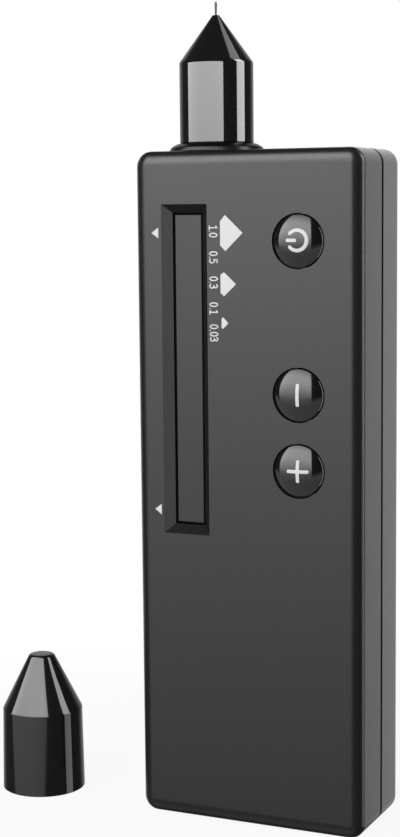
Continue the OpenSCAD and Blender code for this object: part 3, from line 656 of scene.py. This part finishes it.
def ink_line(path, width, surface, loop=False):
    """Line of ink: at each point of the path, a ring that is wide across it and thin off the surface.
    The ring's half-width follows a half circle at the ends, where the line is carried on by that much."""
    path = np.asarray(path, float)
    if loop:
        way = np.roll(path, -1, axis=0) - np.roll(path, 1, axis=0)
        half = np.full(len(path), width / 2)
    else:
        run = np.concatenate([[0], np.cumsum(np.linalg.norm(np.diff(path, axis=0), axis=1))])
        cap = width / 2 * np.sin(np.linspace(0, np.pi / 2, 7))
        along = np.linspace(0, run[-1], 40)[1:-1]
        at = np.concatenate([cap - width / 2, along, run[-1] + (width / 2 - cap)[::-1]])
        ends = np.stack([path[0] - path[1], path[-1] - path[-2]])
        ends /= np.linalg.norm(ends, axis=1)[:, None]
        past = np.maximum(-at, 0)[:, None] * ends[0] + np.maximum(at - run[-1], 0)[:, None] * ends[1]
        inside = np.clip(at, 0, run[-1])
        path = np.column_stack([np.interp(inside, run, path[:, k]) for k in (0, 1)]) + past
        beyond = np.maximum(np.maximum(-at, at - run[-1]), 0)
        half = np.sqrt(np.maximum((width / 2) ** 2 - beyond ** 2, 0))
        way = np.gradient(path, axis=0)
    way /= np.linalg.norm(way, axis=1)[:, None]
    side = np.column_stack([-way[:, 1], way[:, 0]])
    turn = np.linspace(0, 2 * np.pi, 12, endpoint=False)
    across = np.sign(np.cos(turn)) * np.abs(np.cos(turn)) ** 0.5
    off = np.where(np.sin(turn) > 0, INK, INK_SINK) * np.sign(np.sin(turn)) * np.abs(np.sin(turn)) ** 0.5
    flat = path[:, None] + side[:, None] * (half[:, None] * across)[..., None]
    depth = surface(flat[..., 0], flat[..., 1]) - off
    rings = np.stack([flat[..., 0], depth, flat[..., 1]], axis=-1)
    if loop:
        return skin(rings, loop=True)
    return skin(rings[1:-1], rings[0].mean(axis=0), rings[-1].mean(axis=0))


def ink_patch(outline, surface, around=96):
    """Filled sign: its outline, walked at even steps, shrinks to its middle; a second sheet lies under it."""
    outline = np.asarray(outline, float)
    closed = np.vstack([outline, outline[:1]])
    run = np.concatenate([[0], np.cumsum(np.linalg.norm(np.diff(closed, axis=0), axis=1))])
    even = np.unique(np.concatenate([np.linspace(0, run[-1], around, endpoint=False), run[:-1]]))
    rim = np.column_stack([np.interp(even, run, closed[:, k]) for k in (0, 1)])
    middle = outline.mean(axis=0)
    share = np.array([0.35, 0.7, 0.97, 1.0, 1.0, 0.5])
    off = np.array([INK, INK, INK, INK * 0.6, -INK_SINK, -INK_SINK])
    flat = middle + (rim - middle)[None] * share[:, None, None]
    depth = surface(flat[..., 0], flat[..., 1]) - off[:, None]
    rings = np.stack([flat[..., 0], depth, flat[..., 1]], axis=-1)
    heart = surface(middle[:1], middle[1:])[0]
    tips = [np.array([middle[0], heart - lift, middle[1]]) for lift in (INK, -INK_SINK)]
    return skin(rings, tips[0], tips[1])


def print_sign(name, parts, body):
    """One printed sign from its lines and patches, riding on what carries it."""
    make_piece(name, joined([outward(part) for part in parts]), ink_white, body, crease=60.0)


print("ink film", INK, "mm")

# %% [markdown]
# ## Button signs
# The power sign is an open ring with a bar in its gap, and the other two are a bar and a cross. The
# print sits a little right of each button's middle and above it, so all three share one shift.

# %% Button signs
RING_BEND, RING_R, RING_LINE, BAR_HALF, BAR_LINE = 138, 1.9, 0.68, 1.88, 0.66
STEM_FROM, STEM_MID, STEM_TO = -1.95, -1.2, -0.35
ASIDE, RAISED = 0.4, 0.18
bend = np.radians(np.linspace(-RING_BEND, RING_BEND, 60))
ring = RING_R * np.column_stack([np.cos(bend), np.sin(bend)])
stem = np.array([[STEM_FROM, 0.0], [STEM_MID, 0.0], [STEM_TO, 0.0]])
bar = np.array([[0.0, -BAR_HALF], [0.0, 0.0], [0.0, BAR_HALF]])
SIGN_LINES = {
    "power": [(ring, RING_LINE), (stem, BAR_LINE)],
    "minus": [(bar, BAR_LINE)],
    "plus": [(bar, BAR_LINE), (bar[:, ::-1], BAR_LINE)],
}
for sign, lines in SIGN_LINES.items():
    middle = button_middle[sign] + np.array([ASIDE, RAISED])
    print_sign(sign + "_sign", [ink_line(middle + path, width, on_dome(sign)) for path, width in lines], sign)
print("button signs", list(SIGN_LINES))

# %% [markdown]
# ## Scale beside the window
# The scale has two pointers and three gem outlines that grow with the stone. They are filled signs
# with straight sides, so a few corners, as x and z on the case's front in mm, give each of them.

# %% Pointers and gems
POINTERS = {
    "upper_pointer": [[-19.78, 116.3], [-18.26, 117.35], [-18.26, 115.25]],
    "lower_pointer": [[-19.68, 62.1], [-18.24, 63.15], [-18.24, 61.05]],
}
GEMS = {
    "large_gem": [[-5.15, 118.47], [-4.12, 119.66], [-0.48, 116.26], [-4.06, 112.81], [-5.15, 113.91]],
    "middle_gem": [[-5.13, 108.31], [-4.4, 108.81], [-1.9, 106.54], [-4.4, 104.21], [-5.13, 104.81]],
    "small_gem": [[-4.98, 99.91], [-4.67, 100.21], [-3.52, 99.08], [-4.67, 97.97], [-4.98, 98.21]],
}
for name, outline in {**POINTERS, **GEMS}.items():
    print_sign(name, [ink_patch(outline, flat_case)], "case")
print("pointers and gems", len(POINTERS) + len(GEMS))

# %% [markdown]
# ## Numbers
# Five plain numbers stand between the window and the gems. A numeral is a few strokes: each stroke
# is a smooth curve through listed points in a box one unit high. The numerals run down the
# case, so reading is along -Z and their tops point to +X.

# %% Numbers
def through(points, count=40):
    """Smooth curve through points: between two of them, a cubic whose slope at each point is half the
    step from the point before it to the point after it."""
    points = np.asarray(points, float)
    ends = np.vstack([2 * points[0] - points[1], points, 2 * points[-1] - points[-2]])
    at = np.linspace(0, len(points) - 1, count)
    i = np.minimum(at.astype(int), len(points) - 2)
    t = (at - i)[:, None]
    a, b, c, d = (ends[i + k] for k in range(4))
    square, cube = a - 2.5 * b + 2 * c - d / 2, 1.5 * (b - c) + (d - a) / 2
    return b + t / 2 * (c - a) + t ** 2 * square + t ** 3 * cube


oval = np.linspace(0, 2 * np.pi, 48, endpoint=False)
STROKES = {
    "0": [(np.column_stack([0.26 + 0.19 * np.cos(oval), 0.5 + 0.42 * np.sin(oval)]), True)],
    "1": [(np.array([[0.28, 0.08], [0.28, 0.5], [0.28, 0.92]]), False),
          (np.array([[0.1, 0.07], [0.28, 0.07], [0.46, 0.07]]), False),
          (np.array([[0.28, 0.9], [0.2, 0.84], [0.12, 0.78]]), False)],
    "3": [(through([[0.08, 0.8], [0.24, 0.92], [0.42, 0.78], [0.36, 0.58], [0.2, 0.52]]), False),
          (through([[0.2, 0.52], [0.4, 0.46], [0.46, 0.26], [0.3, 0.08], [0.07, 0.16]]), False)],
    "5": [(np.array([[0.42, 0.91], [0.26, 0.91], [0.12, 0.91]]), False),
          (np.array([[0.12, 0.9], [0.11, 0.72], [0.1, 0.55]]), False),
          (through([[0.1, 0.55], [0.28, 0.6], [0.44, 0.42], [0.4, 0.16], [0.24, 0.07], [0.07, 0.14]]),
           False)],
    ".": [(np.array([[0.12, 0.07], [0.121, 0.07], [0.122, 0.07]]), False)],
}
ADVANCE = {"0": 0.54, "1": 0.54, "3": 0.54, "5": 0.54, ".": 0.26}
NUMBER_H, NUMBER_FOOT, NUMBER_LINE, SPREAD = 1.9, -7.52, 0.24, 0.94
NUMBER_START = {"1.0": 117.76, "0.5": 112.81, "0.3": 108.01, "0.1": 103.06, "0.03": 98.81}
for number, start in NUMBER_START.items():
    strokes, along = [], 0.0
    for character in number:
        for path, loop in STROKES[character]:
            x = NUMBER_FOOT + path[:, 1] * NUMBER_H
            z = start - (along + path[:, 0]) * NUMBER_H * SPREAD
            strokes.append(ink_line(np.column_stack([x, z]), NUMBER_LINE, flat_case, loop))
        along += ADVANCE[character]
    print_sign("number_" + number.replace(".", "_"), strokes, "case")
print("numbers", list(NUMBER_START))

# %% [markdown]
# ## Floor
# A pale floor takes the object's shadow. To the camera it is mostly a white sweep of strength 1,
# with a share of plain lit white mixed in near the object, so that the shadow still shows. It stays
# out of reflections, because the glossy pieces show a dark room between the lamps.

# %% Floor
FLOOR_HALF, FLOOR_Z = 6.0, -0.0002
SWEEP_SHARE, SHADE_NEAR, SHADE_FAR = 0.91, 0.07, 0.16
floor_mesh = bpy.data.meshes.new("floor")
floor_corners = FLOOR_HALF * np.array([[-1, -1, 0], [1, -1, 0], [1, 1, 0], [-1, 1, 0]])
floor_mesh.from_pydata((floor_corners + [0, 0, FLOOR_Z]).tolist(), [], [(0, 1, 2, 3)])
floor = bpy.data.objects.new("floor", floor_mesh)
bpy.context.scene.collection.objects.link(floor)
floor.visible_glossy = False
floor_white = bpy.data.materials.new("floor_white")
floor_white.use_nodes = True
tree = floor_white.node_tree
tree.nodes.remove(tree.nodes["Principled BSDF"])
rays = tree.nodes.new("ShaderNodeLightPath")
seen = Wire(rays.outputs["Is Camera Ray"]) + Wire(rays.outputs["Is Transmission Ray"])
place = Wire(tree.nodes.new("ShaderNodeTexCoord").outputs["Object"])
reach = place.node("ShaderNodeVectorMath", {"operation": "LENGTH"}, {0: place}, out=1)
fade = {0: reach, 1: SHADE_NEAR, 2: SHADE_FAR}
far = reach.node("ShaderNodeMapRange", {"interpolation_type": "SMOOTHSTEP"}, fade)
sweep = seen.node("ShaderNodeEmission", None, {"Color": (1, 1, 1, 1), "Strength": 1.0})
lit = seen.node("ShaderNodeBsdfDiffuse", None, {"Color": (0.95, 0.95, 0.95, 1)})
share = seen * (SWEEP_SHARE + (1 - SWEEP_SHARE) * far)
mixed = seen.node("ShaderNodeMixShader", None, {0: share, 1: lit, 2: sweep})
tree.links.new(mixed.socket, tree.nodes["Material Output"].inputs["Surface"])
floor_mesh.materials.append(floor_white)
print("floor", 2 * FLOOR_HALF, "m wide")

# %% [markdown]
# ## Panels of light
# The glossy nose and domes act as mirrors, so they show how such an object is lit: one wide soft
# panel in front, brighter towards its top, a tall narrow panel on the right, and darkness between.
# Area lamps make the panels, with a ramp over their height. Panels that show only in reflections
# and a lamp for plain light are kept apart, which lets each have its level.

# %% Panels
ROOM, FRONT = 0.6, -15.1


def panel(name, middle, azimuth, width, stops, reflect=True):
    """Upright soft panel through a point of the ground, facing the tester from an azimuth in degrees from
    straight ahead to the right. Stops pair heights in metres with brightness, and the panel reaches from
    the first height to the last. Its power is brightness times pi times its area."""
    heights, levels = np.array(stops, float).T
    lamp = bpy.data.lights.new(name, "AREA")
    lamp.shape = "RECTANGLE"
    lamp.size, lamp.size_y = width, heights[-1] - heights[0]
    lamp.energy = levels.max() * np.pi * lamp.size * lamp.size_y
    turn = np.radians(azimuth)
    up, away = np.array([0.0, 0.0, 1.0]), np.array([np.sin(turn), -np.cos(turn), 0.0])
    middle = np.array([middle[0], middle[1], (heights[0] + heights[-1]) / 2])
    place = np.eye(4)
    place[:3] = np.column_stack([np.cross(up, away), up, away, middle])
    holder = bpy.data.objects.new(name, lamp)
    holder.matrix_world = Matrix(place.tolist())
    bpy.context.scene.collection.objects.link(holder)
    holder.visible_camera = False
    holder.visible_diffuse, holder.visible_glossy = not reflect, reflect
    lamp.use_nodes = True
    spot = Wire(lamp.node_tree.nodes.new("ShaderNodeNewGeometry").outputs["Parametric"])
    height = spot.node("ShaderNodeSeparateXYZ", None, {0: spot}, out=1)
    shares = list(zip((heights - heights[0]) / (heights[-1] - heights[0]), levels / levels.max()))
    ramp = spot.node("ShaderNodeValToRGB", {"stops": shares}, {0: height})
    ramp.into(lamp.node_tree.nodes["Emission"], "Color")
    return holder


def ring_panel(name, azimuth, width, stops, distance=ROOM, aside=0.0, reflect=True):
    """Panel at an azimuth and a distance from the tester, then moved aside to the right along its width."""
    turn = np.radians(azimuth)
    x = distance * np.sin(turn) + aside * np.cos(turn)
    y = aside * np.sin(turn) - distance * np.cos(turn)
    return panel(name, (x, y), azimuth, width, stops, reflect)


def front_panel(name, left, right, stops):
    """Part of the wide panel in front, from left to right along it in metres."""
    return ring_panel(name, FRONT, right - left, stops, aside=(left + right) / 2)


print("panels stand", ROOM, "m away, the front one at", FRONT, "degrees")

# %% [markdown]
# ## Front panel
# A photographer shifts cards and flags until each piece shows the reflection that suits it. Light
# linking does the same: a lamp with a collection of receivers reaches these pieces alone, or all
# but these. So the case, the nose, the cap and the domes each get their own part of the panel in
# front, and dim panels below it lift the lower edges of the domes, the case and the window's bevel.

# %% Front panel
def link(holder, names, state="INCLUDE"):
    """Light linking: the lamp reaches these pieces alone, or with EXCLUDE all but these."""
    receivers = bpy.data.collections.new(holder.name + "_receivers")
    for name in names:
        receivers.objects.link(bpy.data.objects[name])
    for entry in receivers.collection_objects:
        entry.light_linking.link_state = state
    holder.light_linking.receiver_collection = receivers


DOMES = ["power_dome", "minus_dome", "plus_dome"]
TURNED = ["nose_skin", "nose_foot", "cap_skin"]
LOW_STOPS = [(-0.25, 0.7), (-0.1, 1.15), (0.0, 1.75), (0.15, 3.55), (0.26, 5.0)]
CASE_STOPS = LOW_STOPS + [(0.4, 7.0), (0.62, 7.0), (0.88, 3.8), (1.1, 0.5)]
TALL_STOPS = LOW_STOPS + [(0.4, 7.0), (0.7, 7.2), (1.0, 5.0), (1.75, 2.0)]
DOME_STOPS = [(-0.3, 0.0), (-0.1, 1.1), (0.0, 2.3), (0.2, 4.3), (0.4, 6.2), (0.75, 6.4), (1.1, 4.4),
              (1.75, 2.0)]
UNDER_STOPS = [(-2.4, 0.6), (-0.5, 0.7), (-0.3, 0.8), (-0.05, 0.0)]
SILL_STOPS = [(-3.0, 0.25), (-1.8, 0.3), (-1.0, 0.42), (-0.5, 0.35), (-0.3, 0.0)]
link(front_panel("case_panel", -0.36, 0.2, CASE_STOPS), DOMES + TURNED, "EXCLUDE")
link(front_panel("nose_panel", -1.0, 1.03, LOW_STOPS), ["nose_skin"])
link(front_panel("round_panel", -1.0, 1.03, TALL_STOPS), ["nose_foot", "cap_skin"])
link(front_panel("dome_panel", -0.97, 0.5, DOME_STOPS), DOMES)
link(front_panel("low_panel", -3.0, 1.5, UNDER_STOPS), DOMES)
link(front_panel("sill_panel", -0.8, 0.6, SILL_STOPS), ["front_half", "window_bezel"])
print("front lamps", [lamp.name for lamp in bpy.data.lights])

# %% [markdown]
# ## Sides and plain light
# Panels on the right draw the bright lines on the nose, the domes, the bevel and the case's edge,
# and a strip close to the cap draws its own. Two dim cards behind give the case's sides their even
# grey. One more lamp shows in no reflection and gives the plain light that brings out the colours.

# %% Sides and plain light
HALVES = ["front_half", "rear_half"]
EDGE_STOPS = [(-0.3, 1.6), (-0.05, 1.65), (0.13, 2.5), (0.3, 2.6)]
SIDE_STOPS = [(-0.3, 1.6), (-0.1, 2.4), (0.17, 4.8), (0.46, 7.2), (0.75, 7.2)]
CAP_STOPS = [(-0.02, 2.0), (0.012, 2.0), (0.028, 6.6), (0.055, 6.6)]
CARD_STOPS = [(-0.07, 0.55), (0.16, 0.76), (0.3, 0.9)]
CAP_STRIP, CAP_STRIP_W = (-0.0245, -0.0029), 0.0088
link(ring_panel("rim_panel", 74.0, 0.3, [(-0.6, 5.0), (0.6, 5.0)]), DOMES)
link(ring_panel("edge_panel", 66.0, 0.17, EDGE_STOPS), ["window_bezel"])
link(ring_panel("side_panel", 106.0, 0.33, SIDE_STOPS), ["cap_skin"], "EXCLUDE")
link(ring_panel("high_panel", 125.8, 0.33, [(0.8, 1.4), (1.56, 1.4)]), ["cap_skin"], "EXCLUDE")
link(panel("cap_panel", CAP_STRIP, 90.0, CAP_STRIP_W, CAP_STOPS), ["cap_skin"])
link(ring_panel("side_card", 163.0, 0.26, CARD_STOPS, distance=0.15, aside=0.065), HALVES)
link(ring_panel("left_card", -115.0, 0.56, [(-0.4, 0.55), (0.4, 0.7)]), HALVES)
ring_panel("plain_light", -12.0, 0.7, [(0.1, 3.0), (0.6, 3.0)], reflect=False)
print("lamps", len(bpy.data.lights))

# %% [markdown]
# ## World
# The world is white to the camera, as the photograph's background is. It gives the rest of the
# plain light, and in reflections it is a dark room with a pale wall behind the tester, which is what
# the edges of the round pieces mirror.

# %% World
PLAIN_SKY, DARK_ROOM, PALE_WALL, WALL_FROM = 0.4, 0.07, 0.6, 0.6
world = bpy.data.worlds.new("studio")
bpy.context.scene.world = world
world.use_nodes = True
sky = world.node_tree.nodes["Background"]
sky.inputs["Color"].default_value = (1, 1, 1, 1)
rays = world.node_tree.nodes.new("ShaderNodeLightPath")
seen = Wire(rays.outputs["Is Camera Ray"]) + Wire(rays.outputs["Is Transmission Ray"])
glossy_ray = Wire(rays.outputs["Is Glossy Ray"])
heading = Wire(world.node_tree.nodes.new("ShaderNodeTexCoord").outputs["Generated"])
behind = (-np.sin(YAW), np.cos(YAW), 0.0)
facing = heading.node("ShaderNodeVectorMath", {"operation": "DOT_PRODUCT"}, {0: heading, 1: behind}, out=1)
wall = facing.node("ShaderNodeMapRange", None, {0: facing, 1: WALL_FROM, 2: 1.0})
plain = PLAIN_SKY * (1 - glossy_ray)
reflected = glossy_ray * (DARK_ROOM + PALE_WALL * wall)
(seen + (1 - seen) * (plain + reflected)).into(sky, "Strength")
print("world nodes", len(world.node_tree.nodes))
